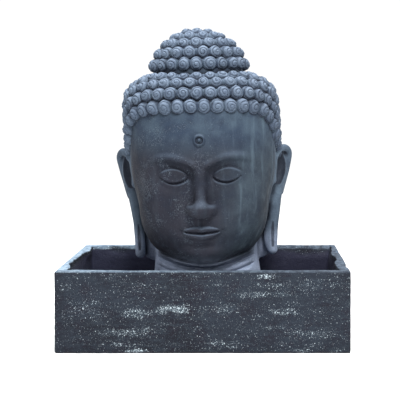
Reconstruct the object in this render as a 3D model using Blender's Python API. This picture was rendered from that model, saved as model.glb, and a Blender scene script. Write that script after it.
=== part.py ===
"""A carved stone head with snail-curl hair, standing in an open rectangular stone basin.

Metres, +Z up, front towards -Y, the underside of the basin on Z = 0 and its centre on the origin.
The head is shaped as a field of distances on a grid of points, positive outside the stone, and the
surface where that field is zero is skinned with faces. In the field, y points forward, out of the face.
"""

import math

import bmesh
import bpy
import numpy as np
from mathutils import Matrix

BASIN_WIDTH = 1.00
BASIN_DEPTH = 0.60
BASIN_HEIGHT = 0.279
BASIN_WALL = 0.035
BASIN_FLOOR = 0.040
INSIDE_CORNER = 0.006
EDGE_ROUND = 0.004

HEAD_HEIGHT = 1.077
HEAD_LEAN = math.radians(1.6)
LEAN_PIVOT = 0.25
CROWN = 0.74
CROWN_BEND = 0.028
FOOT_GAP = 0.0003
CUTTER_REACH = 0.6
GRID_STEP = 0.0055
HEAD_TRIANGLES = 9500
FACE_CARE = 2.0e-6
FACE_EDGE = 0.040

CHIN = 0.290
THIRD = 0.175
EYE_WIDTH = 0.092
MOUTH_WIDTH = 0.138
SKULL_HALF_WIDTH = 0.268
SHOULDER = 0.925
SHOULDER_SWELL = 0.092
SHOULDER_REACH = 0.080
NECK_RADIUS = 0.191
NECK_FLARE = 0.022

CURL_PITCH = 0.0455
CURL_RADIUS = 0.0245
CURL_RISE = 0.021
CURL_PROUD = 0.002
CURL_NOD = math.radians(24)
LINK_RADIUS = 0.016
LINK_RISE = 0.0135
ROW_CLEARANCE = 0.72
TOPKNOT_RADIUS = 0.169
TOPKNOT_RISE = 0.156
TOPKNOT_BACK = 0.030
TOPKNOT_BASE = 0.952
TOPKNOT_TIERS = 5
HAIRLINE = 0.822
FOREHEAD_RING_HEIGHT = 0.724

DESIGN_HEIGHT = 1.087
DESIGN_FOOT = 0.040
NOSE_BASE = CHIN + THIRD
BROW = CHIN + 2 * THIRD
EYE_LINE = CHIN + 1.737 * THIRD
MOUTH_LINE = CHIN + 0.669 * THIRD
HEAD_STONE = (0.105, 0.125, 0.155, 1.0)
BASIN_STONE = (0.040, 0.050, 0.062, 1.0)

CORNERS = [(i, j, k) for i in (0, 1) for j in (0, 1) for k in (0, 1)]
SQUARE = ((0, 0), (1, 0), (1, 1), (0, 1))


# Shapes of the field

def smooth_min(a, b, soft):
    if soft <= 0:
        return np.minimum(a, b)
    near = np.maximum(soft - np.abs(a - b), 0) / soft
    return np.minimum(a, b) - near * near * (soft / 4)


def ellipsoid(centre, radii):
    def distance(x, y, z):
        u, v, w = ((p - c) / r for p, c, r in zip((x, y, z), centre, radii))
        k = np.sqrt(u * u + v * v + w * w)
        slope = np.sqrt((u / radii[0]) ** 2 + (v / radii[1]) ** 2 + (w / radii[2]) ** 2)
        return k * (k - 1) / np.maximum(slope, 1e-6)

    return distance


def squared_dome(centre, radii, plan, rise):
    """A dome whose exponent is plan seen from above and rise seen from the side: 2 is round."""

    def distance(x, y, z):
        u, v, w = (np.abs(p - c) / r for p, c, r in zip((x, y, z), centre, radii))
        flat = np.maximum((u**plan + v**plan) ** (1 / plan), 1e-6)
        k = np.maximum((flat**rise + w**rise) ** (1 / rise), 1e-6)
        level = (flat / k) ** (rise - 1)
        along_x = level * (u / flat) ** (plan - 1) / radii[0]
        along_y = level * (v / flat) ** (plan - 1) / radii[1]
        along_z = (w / k) ** (rise - 1) / radii[2]
        slope = np.sqrt(along_x**2 + along_y**2 + along_z**2)
        return (k - 1) / np.maximum(slope, 1e-6)

    return distance


def limb(points, radii):
    """A round limb through the points, with a radius at each."""
    spots = [np.array(p, float) for p in points]

    def distance(x, y, z):
        found = None
        for a, b, from_radius, to_radius in zip(spots, spots[1:], radii, radii[1:]):
            way = b - a
            share = (x - a[0]) * way[0] + (y - a[1]) * way[1] + (z - a[2]) * way[2]
            share = np.clip(share / way.dot(way), 0, 1)
            off = [p - a[n] - share * way[n] for n, p in enumerate((x, y, z))]
            reach = np.sqrt(off[0] ** 2 + off[1] ** 2 + off[2] ** 2)
            reach = reach - (from_radius + (to_radius - from_radius) * share)
            found = reach if found is None else np.minimum(found, reach)
        return found

    return distance


def bent_limb(points, radii, parts=6):
    """A limb along a smooth curve through the points."""
    spots = np.column_stack([np.array(points, float), np.array(radii, float)])
    ends = np.concatenate([2 * spots[:1] - spots[1:2], spots, 2 * spots[-1:] - spots[-2:-1]])
    curve = []
    for a, b, c, d in zip(ends, ends[1:], ends[2:], ends[3:]):
        for t in np.arange(parts) / parts:
            pull = (c - a) * t + (2 * a - 5 * b + 4 * c - d) * t**2 + (3 * b - a - 3 * c + d) * t**3
            curve.append(b + pull / 2)
    curve = np.array(curve + [spots[-1]])
    return limb(curve[:, :3], curve[:, 3])


def around(points, margin):
    """The box that holds the points with a margin."""
    spots = np.array(points, float)
    return spots.min(axis=0) - margin, spots.max(axis=0) + margin


class Clay:
    """A block of grid points, each with its distance to the surface."""

    def __init__(self, low, high, step):
        self.step = step
        self.low = np.array(low, float)
        self.count = np.ceil((np.array(high, float) - self.low) / step).astype(int) + 1
        self.values = np.full(self.count, 1.0, np.float32)
        self.axes = [
            (self.low[n] + step * np.arange(self.count[n])).astype(np.float32) for n in range(3)
        ]

    def part(self, box=None):
        if box is None:
            cut = (slice(None),) * 3
        else:
            low = np.floor((np.array(box[0]) - self.low) / self.step).astype(int)
            high = np.ceil((np.array(box[1]) - self.low) / self.step).astype(int) + 1
            ends = zip(np.clip(low, 0, self.count), np.clip(high, 0, self.count))
            cut = tuple(slice(a, b) for a, b in ends)
        x, y, z = (self.axes[n][cut[n]] for n in range(3))
        return cut, (x[:, None, None], y[None, :, None], z[None, None, :])

    def add(self, shape, soft=0.0, box=None):
        cut, spots = self.part(box)
        self.values[cut] = smooth_min(self.values[cut], shape(*spots), soft)

    def carve(self, shape, soft=0.0, box=None):
        cut, spots = self.part(box)
        self.values[cut] = -smooth_min(-self.values[cut], shape(*spots), soft)

    def settle(self):
        """Fills the grid's corner-to-corner contacts, where the surface would touch itself."""
        while True:
            inside = self.values < 0
            marks = np.zeros(inside.shape, bool)
            for axis in range(3):
                square = [shifted(inside, axis, over, up) for over, up in SQUARE]
                crossed = (square[0] == square[2]) & (square[1] == square[3])
                crossed &= square[0] != square[1]
                for over, up in SQUARE:
                    shifted(marks, axis, over, up)[...] |= crossed
            cells = np.array(inside.shape) - 1
            block = {c: inside[corner_cut(c, cells)] for c in CORNERS}
            full = sum(block[c].astype(np.uint8) for c in CORNERS)
            for c in CORNERS[:4]:
                other = tuple(1 - n for n in c)
                apart = (full == 2) & block[c] & block[other]
                apart |= (full == 6) & ~block[c] & ~block[other]
                for mark in CORNERS:
                    marks[corner_cut(mark, cells)] |= apart
            marks &= ~inside
            if not marks.any():
                return
            self.values[marks] = -0.05 * self.step

    def skin(self):
        """Points and four-sided faces: one point in every cell of the grid that the surface crosses."""
        self.settle()
        inside = self.values < 0
        cells = np.array(self.values.shape) - 1
        full = np.zeros(cells, np.uint8)
        for c in CORNERS:
            full += inside[corner_cut(c, cells)]
        crossed = np.stack(np.nonzero((full > 0) & (full < 8)), 1)
        number = np.full(cells, -1, np.int32)
        number[tuple(crossed.T)] = np.arange(len(crossed), dtype=np.int32)
        points = self.low + self.step * (crossed + self.mean_crossing(crossed))
        return points, self.faces(inside, number)

    def mean_crossing(self, crossed):
        at = {c: self.values[tuple((crossed + c).T)] for c in CORNERS}
        total = np.zeros((len(crossed), 3))
        hits = np.zeros(len(crossed))
        for start in CORNERS:
            for axis in range(3):
                if start[axis]:
                    continue
                end = tuple(1 if n == axis else start[n] for n in range(3))
                crosses = (at[start] < 0) != (at[end] < 0)
                share = at[start] / np.where(crosses, at[start] - at[end], 1)
                for n in range(3):
                    total[:, n] += np.where(crosses, start[n] + (share if n == axis else 0), 0)
                hits += crosses
        return total / hits[:, None]

    def faces(self, inside, number):
        found = []
        for axis in range(3):
            over, up = (axis + 1) % 3, (axis + 2) % 3
            first = tuple(slice(0, -1) if n == axis else slice(None) for n in range(3))
            second = tuple(slice(1, None) if n == axis else slice(None) for n in range(3))
            edge = np.stack(np.nonzero(inside[first] != inside[second]), 1)
            leaving = inside[first][tuple(edge.T)]
            ring = []
            for back_over, back_up in ((1, 1), (0, 1), (0, 0), (1, 0)):
                cell = edge.copy()
                cell[:, over] -= back_over
                cell[:, up] -= back_up
                ring.append(number[tuple(cell.T)])
            ring = np.stack(ring, 1)
            ring[~leaving] = ring[~leaving][:, ::-1]
            found.append(ring)
        return np.concatenate(found)


def corner_cut(corner, cells):
    """The part of a grid that holds this corner of each cell."""
    return tuple(slice(corner[n], cells[n] + corner[n]) for n in range(3))


def shifted(grid, axis, over, up):
    """The grid from its start, or from one point on, along the two axes other than this one."""
    cut = [slice(None)] * 3
    for n, step in (((axis + 1) % 3, over), ((axis + 2) % 3, up)):
        cut[n] = slice(step, grid.shape[n] - 1 + step)
    return grid[tuple(cut)]


def one_body(points, faces):
    """The largest connected sheet of faces, leaving out specks and the walls of sealed hollows."""
    label = np.arange(len(points))
    while True:
        lowest = label[faces].min(axis=1)
        fresh = label.copy()
        for corner in range(faces.shape[1]):
            np.minimum.at(fresh, faces[:, corner], lowest)
        fresh = fresh[fresh]
        if (fresh == label).all():
            break
        label = fresh
    kept = label == np.bincount(label).argmax()
    number = np.cumsum(kept) - 1
    return points[kept], number[faces[kept[faces[:, 0]]]]


def gauss(t):
    return np.exp(-t * t)


def ramp(t):
    t = np.clip(t, 0, 1)
    return t * t * (3 - 2 * t)


def swell(t):
    return np.maximum(np.sin(np.clip(t, 0, 1) * math.pi), 0) ** 0.75


# Head

def scalp(x, y, z):
    x = x / (1 + SHOULDER_SWELL * gauss((z - SHOULDER) / SHOULDER_REACH))
    cranium = squared_dome((0, -0.015, 0.720), (SKULL_HALF_WIDTH, 0.272, 0.235), 2.3, 3.5)
    nape = ellipsoid((0, -0.085, 0.620), (0.255, 0.205, 0.270))
    return smooth_min(cranium(x, y, z), nape(x, y, z), 0.05)


def neck(x, y, z):
    radius = NECK_RADIUS + NECK_FLARE * ramp((0.34 - z) / 0.30)
    reach = np.sqrt((x / radius) ** 2 + ((y + 0.035) / (0.95 * radius)) ** 2)
    return np.maximum((reach - 1) * radius, z - 0.50)


def add_masses(clay):
    clay.add(scalp)
    clay.add(squared_dome((0, 0.050, 0.515), (0.236, 0.205, 0.245), 2.2, 2.5), 0.06)
    clay.add(ellipsoid((0, 0.165, CHIN + 0.043), (0.082, 0.083, 0.047)), 0.06)
    clay.add(ellipsoid((0, 0.155, 0.420), (0.110, 0.100, 0.075)), 0.06)
    for side in (-1, 1):
        clay.add(ellipsoid((side * 0.118, 0.160, 0.505), (0.085, 0.078, 0.100)), 0.06)
    clay.add(neck, 0.025)


def add_eyes(clay):
    for side in (-1, 1):
        clay.carve(ellipsoid((side * 0.098, 0.292, 0.606), (0.086, 0.060, 0.044)), 0.035)
        clay.carve(ellipsoid((side * 0.040, 0.272, 0.604), (0.024, 0.030, 0.030)), 0.018)
        clay.add(ellipsoid((side * EYE_WIDTH, 0.192, 0.596), (0.060, 0.053, 0.040)), 0.016)


def add_nose(clay):
    share = np.linspace(0, 1, 14)
    radii = 0.0125 + 0.0065 * share
    front = 0.252 + 0.068 * share**1.12
    heights = BROW + 0.015 - share * (THIRD - 0.003)
    path = list(zip(0 * share, front - radii, heights))
    clay.add(limb(path, list(radii)), 0.030, around(path, 0.07))
    clay.add(ellipsoid((0, 0.302, NOSE_BASE + 0.021), (0.021, 0.022, 0.020)), 0.018)
    for side in (-1, 1):
        clay.add(ellipsoid((side * 0.030, 0.268, NOSE_BASE + 0.018), (0.0175, 0.026, 0.018)), 0.012)
        clay.carve(ellipsoid((side * 0.0165, 0.288, NOSE_BASE), (0.0085, 0.014, 0.008)), 0.004)


def brow_relief(x, z):
    out = np.abs(x)
    share = np.clip((out - 0.020) / 0.160, 0, 1)
    line = BROW - 0.006 + 0.034 * np.sin(share * math.pi * 0.72) - 0.010 * share**2
    return 0.0085 * gauss((z - line) / 0.0135) * ramp((0.205 - out) / 0.06) * ramp(out / 0.03)


def eye_relief(x, z):
    out = np.abs(x)
    inner = EYE_WIDTH / 2
    share = np.clip((out - inner) / EYE_WIDTH, 0, 1)
    dip = np.sin(share * math.pi)
    upper = EYE_LINE - 0.0090 * dip + 0.003 * share
    lower = EYE_LINE - 0.0155 * dip + 0.003 * share
    crease = EYE_LINE + 0.002 + 0.033 * swell((out - 0.036) / 0.122)
    across = ramp((out - inner + 0.006) / 0.012) * ramp((inner + EYE_WIDTH + 0.008 - out) / 0.014)
    lids = 0.0038 * across * ramp((crease - z) / 0.004) * ramp((z - upper) / 0.003)
    lids = lids + 0.0022 * across * ramp((lower - z) / 0.003) * ramp((z - lower + 0.026) / 0.018)
    fold = ramp((out - 0.034) / 0.010) * ramp((0.160 - out) / 0.012)
    return lids - 0.0028 * gauss((z - crease) / 0.0028) * fold


def mouth_relief(x, z):
    out = np.abs(x)
    half = MOUTH_WIDTH / 2
    reach = np.clip(1 - (out / half) ** 2, 0, 1)
    turn_up = 0.004 * (out / half) ** 2
    line = MOUTH_LINE + turn_up - 0.0016 * gauss(out / 0.014)
    top = MOUTH_LINE + turn_up + 0.0235 * reach**0.8 - 0.004 * gauss(out / 0.009)
    bottom = MOUTH_LINE + turn_up - 0.0290 * reach**0.62
    upper = swell((z - line) / np.maximum(top - line, 1e-4)) * (z >= line)
    lower = swell((line - z) / np.maximum(line - bottom, 1e-4)) * (z < line)
    lips = (0.0105 * upper + 0.0125 * lower) * reach**0.55
    lips = lips - 0.0025 * gauss((z - line) / 0.0034) * ramp((half + 0.007 - out) / 0.01)
    corner = gauss((out - half - 0.007) / 0.009) * gauss((z - MOUTH_LINE - 0.003) / 0.010)
    under = gauss((z - MOUTH_LINE + 0.049) / 0.011) * gauss(out / 0.050)
    return lips - 0.0040 * corner - 0.0070 * under


def lip_groove_relief(x, z):
    out = np.abs(x)
    zone = ramp((z - MOUTH_LINE - 0.017) / 0.010) * ramp((NOSE_BASE + 0.001 - z) / 0.012)
    return (0.0022 * gauss((out - 0.011) / 0.0045) - 0.0035 * gauss(out / 0.0065)) * zone


def forehead_ring_relief(x, z):
    reach = np.sqrt(x**2 + (z - FOREHEAD_RING_HEIGHT) ** 2)
    ring = gauss((reach - 0.0150) / 0.0042)
    return 0.0060 * ring + 0.0070 * gauss(reach / 0.0062)


def carve_face_relief(clay):
    cut, (x, y, z) = clay.part(((-0.22, 0.10, 0.30), (0.22, 0.36, 0.78)))
    relief = brow_relief(x, z) + eye_relief(x, z) + mouth_relief(x, z)
    relief = relief + lip_groove_relief(x, z) + forehead_ring_relief(x, z)
    clay.values[cut] -= relief * ramp((y - 0.12) / 0.05)


def carve_neck_folds(clay):
    cut, (x, y, z) = clay.part(((-0.24, -0.05, 0.18), (0.24, 0.20, 0.36)))
    sag = 0.052 * np.cos(np.clip(x / 0.19, -1, 1) * math.pi / 2)
    for low, depth in ((0.285, 0.007), (0.255, 0.005)):
        fold = gauss((z - low - 0.040 + sag) / 0.0055)
        clay.values[cut] += depth * fold * ramp((y + 0.05) / 0.10)


# Ears

def add_ear(clay, side):
    def spots(*triples):
        return [(side * x, y, z) for x, y, z in triples]

    strap = spots(
        (0.276, -0.050, 0.560), (0.265, -0.046, 0.490), (0.255, -0.038, 0.420), (0.249, -0.030, 0.355),
        (0.248, -0.026, 0.298),
    )
    clay.add(ellipsoid((side * 0.274, -0.052, 0.602), (0.034, 0.046, 0.082)), 0.02)
    clay.add(bent_limb(strap, [0.023, 0.021, 0.019, 0.0185, 0.018]), 0.012, around(strap, 0.06))
    clay.add(ellipsoid((side * 0.250, -0.055, 0.375), (0.017, 0.036, 0.085)), 0.012)
    clay.add(ellipsoid((side * 0.246, -0.066, 0.480), (0.026, 0.036, 0.100)), 0.02)
    clay.add(ellipsoid((side * 0.200, -0.085, 0.370), (0.062, 0.038, 0.110)), 0.02)
    helix = spots(
        (0.258, 0.004, 0.610), (0.266, 0.006, 0.650), (0.282, -0.010, 0.672), (0.302, -0.038, 0.678),
        (0.317, -0.066, 0.658), (0.312, -0.078, 0.612), (0.299, -0.074, 0.560), (0.283, -0.062, 0.510),
    )
    rim = [0.009, 0.0115, 0.013, 0.0135, 0.0135, 0.0125, 0.012, 0.012]
    clay.add(bent_limb(helix, rim), 0.008, around(helix, 0.05))
    hollow = spots((0.286, -0.012, 0.652), (0.284, -0.016, 0.610), (0.274, -0.010, 0.560))
    clay.carve(bent_limb(hollow, [0.012, 0.016, 0.011]), 0.008, around(hollow, 0.05))
    ridge = spots((0.291, -0.052, 0.648), (0.291, -0.048, 0.610), (0.283, -0.036, 0.565))
    clay.add(bent_limb(ridge, [0.006, 0.009, 0.007]), 0.006, around(ridge, 0.03))
    flap = spots((0.255, 0.012, 0.592), (0.256, 0.010, 0.560))
    clay.add(limb(flap, [0.010, 0.012]), 0.012, around(flap, 0.04))
    slit = spots((0.252, -0.016, 0.420), (0.2485, -0.008, 0.360), (0.248, -0.008, 0.304))
    clay.carve(bent_limb(slit, [0.002, 0.0055, 0.0035]), 0.004, around(slit, 0.02))


# Hair

def hairline_height(turn):
    """Height of the hair's lower edge: level over the forehead, down the temples and behind the ears."""
    degrees = np.degrees(np.arccos(np.cos(turn)))
    drop = np.interp(
        degrees,
        [0, 36, 51, 61, 68, 78, 90, 104, 118, 135, 180],
        [0, 0.003, 0.021, 0.055, 0.102, 0.142, 0.170, 0.222, 0.300, 0.362, 0.386],
    )
    return HAIRLINE - drop


def crown_spots(turns, lifts):
    """Points of the scalp on rays that rise from its middle, one row for each turn."""
    middle = np.array([0, -TOPKNOT_BACK, 0.700])
    turn, lift = np.meshgrid(turns, lifts, indexing="ij")
    way = np.stack([np.sin(turn) * np.cos(lift), np.cos(turn) * np.cos(lift), np.sin(lift)], -1)
    near, far = np.zeros(turn.shape), np.full(turn.shape, 0.6)
    for _ in range(30):
        half = (near + far) / 2
        spots = middle + half[..., None] * way
        outside = scalp(spots[..., 0], spots[..., 1], spots[..., 2]) > 0
        near, far = np.where(outside, near, half), np.where(outside, half, far)
    return middle + near[..., None] * way


def spread(line, shift, closed):
    """Spots along a line of points at even spacing, near the curls' pitch."""
    if closed:
        line = np.concatenate([line, line[:1]])
    length = np.concatenate([[0], np.cumsum(np.linalg.norm(np.diff(line, axis=0), axis=1))])
    count = max(1, round(length[-1] / CURL_PITCH))
    wanted = np.arange(count) + shift if closed else np.arange(count + 1)
    wanted = wanted / count * length[-1]
    return np.stack([np.interp(wanted, length, line[:, n]) for n in range(3)], 1)


def at_lengths(fall, length, wanted):
    """The point of each fall line that lies this far down it."""
    return np.array([
        [np.interp(w, s, line[:, n]) for n in range(3)] for w, s, line in zip(wanted, length, fall)
    ])


def one_pitch_up(fall, length, place, row):
    """How far down each fall line the next row crosses it, one pitch away from this row's points."""
    gap = np.array([
        np.linalg.norm(line[:, None] - row[None], axis=2).min(axis=1) for line in fall
    ])
    found = np.zeros(len(place))
    for n, (g, s) in enumerate(zip(gap, length)):
        far = np.nonzero((s < place[n]) & (g >= CURL_PITCH))[0]
        if len(far):
            k = far[-1]
            share = (g[k] - CURL_PITCH) / max(g[k] - g[k + 1], 1e-6)
            found[n] = s[k] + min(share, 1) * (s[k + 1] - s[k])
    return found


def live_stretches(live):
    """The runs of neighbouring fall lines that a row still crosses, and whether it closes on itself."""
    if live.all():
        return [np.arange(len(live))], True
    first = np.argmin(live)
    order = np.roll(np.arange(len(live)), -first)
    order = order[live[order]]
    breaks = np.nonzero(np.diff(order) % len(live) != 1)[0] + 1
    return [run for run in np.split(order, breaks) if len(run) > 1], False


def scalp_rows():
    """Rows of curls that follow the hairline, each one pitch above the last, up to the topknot's ring."""
    turns = np.radians(np.arange(0, 360, 2.0))
    fall = crown_spots(turns, np.radians(np.arange(88, -62, -2.0)))
    steps = np.linalg.norm(np.diff(fall, axis=1), axis=2)
    length = np.concatenate([np.zeros((len(turns), 1)), np.cumsum(steps, axis=1)], axis=1)
    upper = fall[:, :30]
    rim = np.hypot(upper[..., 0], upper[..., 1] + TOPKNOT_BACK)
    collar = np.array([np.interp(TOPKNOT_RADIUS, r, s[:30]) for r, s in zip(rim, length)])
    collar = collar + 0.62 * CURL_PITCH
    rows = [(spread(at_lengths(fall, length, collar), 0.0, True), True)]
    edge = hairline_height(turns) + 0.45 * CURL_PITCH
    place = np.array([np.interp(-h, -line[:, 2], s) for h, line, s in zip(edge, fall, length)])
    live = place > collar
    while live.any():
        points = at_lengths(fall, length, place)
        runs, closed = live_stretches(live)
        for run in runs:
            rows.append((spread(points[run], 0.5 * (len(rows) % 2), closed), closed))
        higher = one_pitch_up(fall, length, place, points[live])
        live &= higher > collar + ROW_CLEARANCE * CURL_PITCH
        place = np.where(live, higher, place)
    return rows


def topknot(x, y, z):
    radii = (TOPKNOT_RADIUS, TOPKNOT_RADIUS, TOPKNOT_RISE)
    dome = ellipsoid((0, -TOPKNOT_BACK, TOPKNOT_BASE), radii)
    return dome(x, y, z)


def topknot_rows():
    lifts = np.radians(np.arange(0, 90.5, 1.5))
    profile = np.stack([TOPKNOT_RADIUS * np.cos(lifts), TOPKNOT_RISE * np.sin(lifts)], 1)
    length = np.concatenate([[0], np.cumsum(np.linalg.norm(np.diff(profile, axis=0), axis=1))])
    rows = [(np.array([[0, -TOPKNOT_BACK, TOPKNOT_BASE + TOPKNOT_RISE]]), False)]
    for row in range(TOPKNOT_TIERS):
        place = length[-1] - (row + 1) * (length[-1] - 0.9 * CURL_PITCH) / TOPKNOT_TIERS
        radius = np.interp(place, length, profile[:, 0])
        height = TOPKNOT_BASE + np.interp(place, length, profile[:, 1])
        curls = max(5, round(2 * math.pi * radius / CURL_PITCH))
        turn = (np.arange(curls) + 0.5 * (row % 2)) * 2 * math.pi / curls
        ring = [radius * np.sin(turn), radius * np.cos(turn) - TOPKNOT_BACK, np.full(curls, height)]
        rows.append((np.stack(ring, 1), True))
    return rows


def links(spots, closed):
    """The spots halfway between a row's neighbouring curls."""
    if closed:
        return (spots + np.roll(spots, -1, axis=0)) / 2
    return (spots[:-1] + spots[1:]) / 2


def normals(shape, spots, reach=0.002):
    x, y, z = spots.T
    slope = np.stack([
        shape(x + reach, y, z) - shape(x - reach, y, z),
        shape(x, y + reach, z) - shape(x, y - reach, z),
        shape(x, y, z + reach) - shape(x, y, z - reach),
    ], 1)
    return slope / np.linalg.norm(slope, axis=1)[:, None]


def nodding(normal):
    """The way a curl points: down from the normal, so that each row steps over the next."""
    down = normal * normal[2] - np.array([0, 0, 1])
    down = down / max(np.linalg.norm(down), 0.2)
    way = normal * math.cos(CURL_NOD) + down * math.sin(CURL_NOD)
    return way / np.linalg.norm(way)


def add_dome(clay, spot, way, radius, rise):
    """A low dome on the scalp, standing up along the way."""
    middle = spot + CURL_PROUD * way
    cut, (x, y, z) = clay.part((middle - 1.6 * radius, middle + 1.6 * radius))
    off = (x - middle[0], y - middle[1], z - middle[2])
    up = off[0] * way[0] + off[1] * way[1] + off[2] * way[2]
    flat = off[0] ** 2 + off[1] ** 2 + off[2] ** 2 - up**2
    reach = np.sqrt(np.maximum(flat, 0) / radius**2 + up**2 / rise**2)
    clay.values[cut] = np.minimum(clay.values[cut], (reach - 1) * rise)


def add_hair(clay):
    clay.add(topknot, 0.01)
    for shape, rows in ((scalp, scalp_rows()), (topknot, topknot_rows())):
        for spots, closed in rows:
            for spot, normal in zip(spots, normals(shape, spots)):
                add_dome(clay, spot, nodding(normal), CURL_RADIUS, CURL_RISE)
            between = links(spots, closed)
            for spot, normal in zip(between, normals(shape, between)):
                add_dome(clay, spot, nodding(normal), LINK_RADIUS, LINK_RISE)


# Objects

def shaped_head():
    clay = Clay((-0.36, -0.36, -0.04), (0.36, 0.36, 1.16), GRID_STEP)
    add_masses(clay)
    add_eyes(clay)
    add_nose(clay)
    carve_face_relief(clay)
    carve_neck_folds(clay)
    for side in (-1, 1):
        add_ear(clay, side)
    add_hair(clay)
    clay.values[:, :, :2] = 1.0
    return one_body(*clay.skin())


def placed(points):
    """Turns the field's points to face -Y, scales them to the head's height, leans and seats the head."""
    scale = HEAD_HEIGHT / DESIGN_HEIGHT
    x = (points[:, 0] - CROWN_BEND * np.maximum(points[:, 2] - CROWN, 0)) * scale
    y = -points[:, 1] * scale
    z = BASIN_FLOOR + (points[:, 2] - DESIGN_FOOT) * scale
    turned = np.stack([x, y, z - LEAN_PIVOT], 1) @ np.array(Matrix.Rotation(-HEAD_LEAN, 3, "Y")).T
    return turned + np.array([0, 0, LEAN_PIVOT])


def material(name, colour, roughness):
    made = bpy.data.materials.new(name)
    made.use_nodes = True
    shader = made.node_tree.nodes["Principled BSDF"]
    shader.inputs["Base Color"].default_value = colour
    shader.inputs["Roughness"].default_value = roughness
    made.diffuse_color = colour
    return made


def new_object(name, mesh, finish=None):
    made = bpy.data.objects.new(name, mesh)
    bpy.context.scene.collection.objects.link(made)
    if finish is not None:
        mesh.materials.append(finish)
    return made


def block(name, low, high):
    mesh = bpy.data.meshes.new(name)
    shape = bmesh.new()
    bmesh.ops.create_cube(shape, size=1.0)
    for vertex in shape.verts:
        vertex.co = [a + (c + 0.5) * (b - a) for a, b, c in zip(low, high, vertex.co)]
    shape.to_mesh(mesh)
    shape.free()
    return mesh


def cutter(name, low, high):
    made = new_object(name, block(name, low, high))
    made.hide_render = True
    made.display_type = "WIRE"
    return made


def cut_by(target, tool):
    cut = target.modifiers.new("cut_" + tool.name, "BOOLEAN")
    cut.operation = "DIFFERENCE"
    cut.solver = "EXACT"
    cut.object = tool


def keep_face_fine(head, points):
    """A vertex group whose low weights make the thinning spare the face."""
    y, z = points.T[1:]
    below_hair = ramp((HAIRLINE - FACE_EDGE - z) / FACE_EDGE)
    above_chin = ramp((z - CHIN) / FACE_EDGE)
    face = ramp((y - FACE_EDGE) / (2 * FACE_EDGE)) * below_hair * above_chin
    group = head.vertex_groups.new(name="thinned")
    weights = np.round(1 - 0.9 * face, 1)
    for weight in np.unique(weights):
        chosen = np.nonzero(weights == weight)[0].tolist()
        group.add(chosen, float(weight), "REPLACE")
    return group.name


def make_head():
    points, faces = shaped_head()
    mesh = bpy.data.meshes.new("buddha_head")
    mesh.from_pydata(placed(points), [], faces[:, ::-1])
    mesh.shade_smooth()
    head = new_object("buddha_head", mesh, material("head_stone", HEAD_STONE, 0.85))
    thin = head.modifiers.new("thin", "DECIMATE")
    thin.ratio = HEAD_TRIANGLES / (2 * len(faces))
    thin.vertex_group = keep_face_fine(head, points)
    thin.vertex_group_factor = FACE_CARE
    low, high = (-CUTTER_REACH,) * 3, (CUTTER_REACH, CUTTER_REACH, BASIN_FLOOR + FOOT_GAP)
    cut_by(head, cutter("foot_cut", low, high))
    return head


def make_basin():
    half_width, half_depth = BASIN_WIDTH / 2, BASIN_DEPTH / 2
    mesh = block("basin", (-half_width, -half_depth, 0), (half_width, half_depth, BASIN_HEIGHT))
    basin = new_object("basin", mesh, material("basin_stone", BASIN_STONE, 0.85))
    inner_x, inner_y = half_width - BASIN_WALL, half_depth - BASIN_WALL
    high = (inner_x, inner_y, BASIN_HEIGHT + CUTTER_REACH)
    hollow = cutter("basin_hollow", (-inner_x, -inner_y, BASIN_FLOOR), high)
    rounding = hollow.modifiers.new("round", "BEVEL")
    rounding.width = INSIDE_CORNER
    rounding.segments = 3
    rounding.limit_method = "NONE"
    cut_by(basin, hollow)
    edges = basin.modifiers.new("edges", "BEVEL")
    edges.width = EDGE_ROUND
    edges.segments = 1
    edges.limit_method = "ANGLE"
    edges.angle_limit = math.radians(50)
    return basin


def main():
    for old in list(bpy.data.objects):
        bpy.data.objects.remove(old, do_unlink=True)
    make_basin()
    make_head()


main()
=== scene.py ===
"""Dresses the stone head fountain: the carved head, its snail curls and the rough basin.

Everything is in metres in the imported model's frame: +Z up, the face towards -Y. The head is shaped as a
field of distances on a grid of points, positive outside the stone, in which y points out of the face.
"""

import math

import bpy
import numpy as np
from mathutils import Matrix, Vector


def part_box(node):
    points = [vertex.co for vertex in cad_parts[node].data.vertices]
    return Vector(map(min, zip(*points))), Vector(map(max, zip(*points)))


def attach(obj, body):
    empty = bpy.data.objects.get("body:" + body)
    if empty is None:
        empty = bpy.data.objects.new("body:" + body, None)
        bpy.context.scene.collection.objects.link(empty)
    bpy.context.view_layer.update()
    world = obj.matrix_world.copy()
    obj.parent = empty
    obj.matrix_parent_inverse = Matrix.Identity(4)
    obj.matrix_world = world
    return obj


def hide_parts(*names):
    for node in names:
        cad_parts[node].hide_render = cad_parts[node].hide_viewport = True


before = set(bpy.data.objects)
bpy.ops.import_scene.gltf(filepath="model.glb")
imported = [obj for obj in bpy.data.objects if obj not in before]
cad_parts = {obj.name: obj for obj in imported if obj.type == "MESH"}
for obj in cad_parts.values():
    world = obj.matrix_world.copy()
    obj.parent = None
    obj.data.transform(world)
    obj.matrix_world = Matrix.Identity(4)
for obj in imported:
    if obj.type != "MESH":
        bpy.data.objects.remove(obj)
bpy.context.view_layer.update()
basin_low, basin_high = (np.array(corner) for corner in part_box("basin"))
head_low, head_high = (np.array(corner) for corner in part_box("buddha_head"))

SEED = 7
EMPTY = 0.2
HEAD_GRID = ((-0.36, -0.36, -0.02), (0.36, 0.36, 1.13))
HEAD_STEP = 0.0030
FACE_CARE = 1.0e-6
BASIN_STEP = 0.0042
PIECE_TRIANGLES = 190000
CURL_SIDES = 36
CURL_RINGS = 18

CAMERA_PLACE = (0.1609, -3.4016, 0.8402)
CAMERA_PITCH = math.radians(2.315)
CAMERA_LENS = 83.80
CAMERA_SHIFT = (-0.1262, -0.1465)
SENSOR = 36.0

DESIGN_FOOT = 0.040
SOLID_SPAN = 1.0920
HEAD_LEAN = math.radians(1.6)
LEAN_PIVOT = 0.25
CROWN = 0.74
CROWN_BEND = 0.028

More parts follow.
